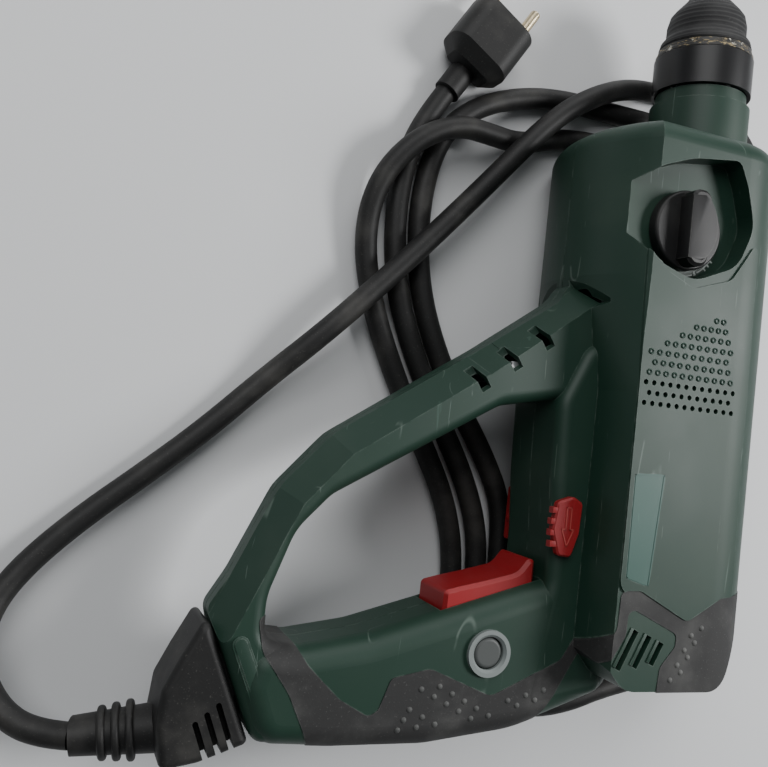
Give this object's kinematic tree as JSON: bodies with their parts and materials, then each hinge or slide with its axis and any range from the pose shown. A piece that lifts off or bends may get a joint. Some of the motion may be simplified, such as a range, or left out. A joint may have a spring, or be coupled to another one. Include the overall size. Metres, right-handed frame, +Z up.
{
  "type": "rotary hammer",
  "caption": "Electric rotary hammer with a closed D-handle, quick tool holder, mode knob, trigger and mains cord, lying on its side.",
  "frame": {"origin": "centre of the box of the tool without its cord, on the surface that it lies on", "axes": "+Z up out of the tool's left side, +Y along the spindle towards the nose, +X towards the tool's top, the handle hanging towards -X"},
  "size_m": [0.3521, 0.3353, 0.084],
  "materials": {
    "green_plastic": "fine moulded texture, scuffed",
    "black_rubber": "matt, with raised dots",
    "black_plastic": "satin",
    "red_plastic": "satin red",
    "grey_plastic": "pale grey",
    "worn_brass": "scratched",
    "cord_rubber": "dusty black",
    "steel": "ground",
    "laminations": "stacked sheet steel",
    "copper": "enamelled copper",
    "aluminium": "die cast",
    "white_plastic": "plain",
    "seal_rubber": "nitrile",
    "carbon": "pressed carbon"
  },
  "bodies": {
    "housing": {"housing_left": "green_plastic", "housing_right": "green_plastic", "housing_screws": "steel", "grip_pad_left": "black_rubber", "grip_pad_right": "black_rubber", "label_plate": "grey_plastic", "lock_bezel": "grey_plastic", "front_collar": "green_plastic", "spindle_bearings": "steel", "gear_bracket": "aluminium", "motor_bulkhead": "aluminium", "air_baffle": "black_plastic", "intermediate_bearings": "steel", "motor_bearings": "steel", "stator_core": "laminations", "field_coils": "copper", "brush_holders": "black_plastic", "carbon_brushes": "carbon", "brush_springs": "steel", "switch_module": "black_plastic", "cable_clamp": "black_plastic", "clamp_screws": "steel", "cord_protector": "black_rubber", "power_cord": "cord_rubber", "plug_body": "black_plastic", "plug_pins": "worn_brass", "trigger_spring": "steel"},
    "spindle": {"tool_holder": "steel", "dust_cap": "black_rubber", "spindle_gear": "steel", "retaining_ring": "steel", "guide_ring": "steel", "locking_spring": "steel"},
    "sleeve": {"locking_sleeve": "black_plastic", "step_ring": "worn_brass"},
    "ball_1": {"locking_ball_1": "steel"},
    "ball_2": {"locking_ball_2": "steel"},
    "impact_bolt": {"impact_bolt": "steel"},
    "striker": {"striker": "steel", "striker_ring": "seal_rubber"},
    "piston": {"piston": "aluminium", "piston_pin": "steel"},
    "wobble": {"wobble_plate": "steel", "wobble_balls": "steel"},
    "intermediate": {"intermediate_shaft": "steel", "drive_pinion": "steel", "intermediate_gear": "steel", "wobble_hub": "steel"},
    "clutch": {"clutch_sleeve": "steel"},
    "armature": {"armature_shaft": "steel", "armature_core": "laminations", "armature_winding": "copper", "commutator": "copper", "fan": "white_plastic"},
    "mode_knob": {"mode_knob": "black_plastic", "selector_cam": "black_plastic"},
    "shift_fork": {"shift_fork": "steel"},
    "direction_lever": {"direction_lever": "red_plastic"},
    "trigger": {"trigger": "red_plastic"},
    "lock_button": {"lock_button": "black_plastic"}
  },
  "joints": [
    {"name": "armature_spin", "type": "hinge", "parent": "housing", "child": "armature", "pos_m": [0.07143, -0.06285, 0.041], "axis": [0, 1, 0], "continuous": true},
    {"name": "intermediate_spin", "type": "hinge", "parent": "housing", "child": "intermediate", "pos_m": [0.04993, 0.01715, 0.041], "axis": [0, 1, 0], "continuous": true},
    {"name": "spindle_spin", "type": "hinge", "parent": "housing", "child": "spindle", "pos_m": [0.08543, 0.10715, 0.041], "axis": [0, 1, 0], "continuous": true},
    {"name": "sleeve_pull", "type": "slide", "parent": "spindle", "child": "sleeve", "axis": [0, -1, 0], "range_m": [0, 0.006], "stiffness_N_per_m": 900, "springref_m": -0.004, "deforming": ["locking_spring"]},
    {"name": "ball_1_release", "type": "slide", "parent": "spindle", "child": "ball_1", "axis": [1, 0, 0], "range_m": [0, 0.0017]},
    {"name": "ball_2_release", "type": "slide", "parent": "spindle", "child": "ball_2", "axis": [-1, 0, 0], "range_m": [0, 0.0017]},
    {"name": "impact_bolt_slide", "type": "slide", "parent": "spindle", "child": "impact_bolt", "axis": [0, 1, 0], "range_m": [-0.0025, 0]},
    {"name": "striker_slide", "type": "slide", "parent": "housing", "child": "striker", "axis": [0, 1, 0], "range_m": [-0.002, 0.004]},
    {"name": "piston_stroke", "type": "slide", "parent": "housing", "child": "piston", "axis": [0, 1, 0], "range_m": [-0.00431, 0.00431]},
    {"name": "wobble_swing", "type": "hinge", "parent": "housing", "child": "wobble", "pos_m": [0.04993, 0.00915, 0.041], "axis": [0, 0, 1], "range_deg": [-6.9, 6.9]},
    {"name": "clutch_shift", "type": "slide", "parent": "intermediate", "child": "clutch", "axis": [0, -1, 0], "range_m": [0, 0.005]},
    {"name": "mode_turn", "type": "hinge", "parent": "housing", "child": "mode_knob", "pos_m": [0.05743, 0.04615, 0.077], "axis": [0, 0, 1], "range_deg": [0, 90]},
    {"name": "fork_shift", "type": "slide", "parent": "housing", "child": "shift_fork", "axis": [0, -1, 0], "range_m": [0, 0.005]},
    {"name": "direction_slide", "type": "slide", "parent": "housing", "child": "direction_lever", "axis": [0, 1, 0], "range_m": [0, 0.008]},
    {"name": "trigger_press", "type": "slide", "parent": "housing", "child": "trigger", "axis": [0.2319, -0.9727, 0], "range_m": [0, 0.007], "stiffness_N_per_m": 500, "springref_m": -0.002, "deforming": ["trigger_spring"]},
    {"name": "lock_press", "type": "slide", "parent": "housing", "child": "lock_button", "axis": [0, 0, -1], "range_m": [0, 0.0025], "stiffness_N_per_m": 400, "springref_m": -0.001}
  ],
  "couplings": [
    {"joint": "intermediate_spin", "follows": "armature_spin", "ratio": -0.19444},
    {"joint": "spindle_spin", "follows": "armature_spin", "ratio": 0.13426},
    {"joint": "ball_1_release", "follows": "sleeve_pull", "ratio": 0.28333},
    {"joint": "ball_2_release", "follows": "sleeve_pull", "ratio": 0.28333},
    {"joint": "piston_stroke", "follows": "wobble_swing", "m_per_rad": 0.0355},
    {"joint": "fork_shift", "follows": "mode_turn", "m_per_rad": 0.0031799},
    {"joint": "clutch_shift", "follows": "mode_turn", "m_per_rad": 0.0031799}
  ]
}
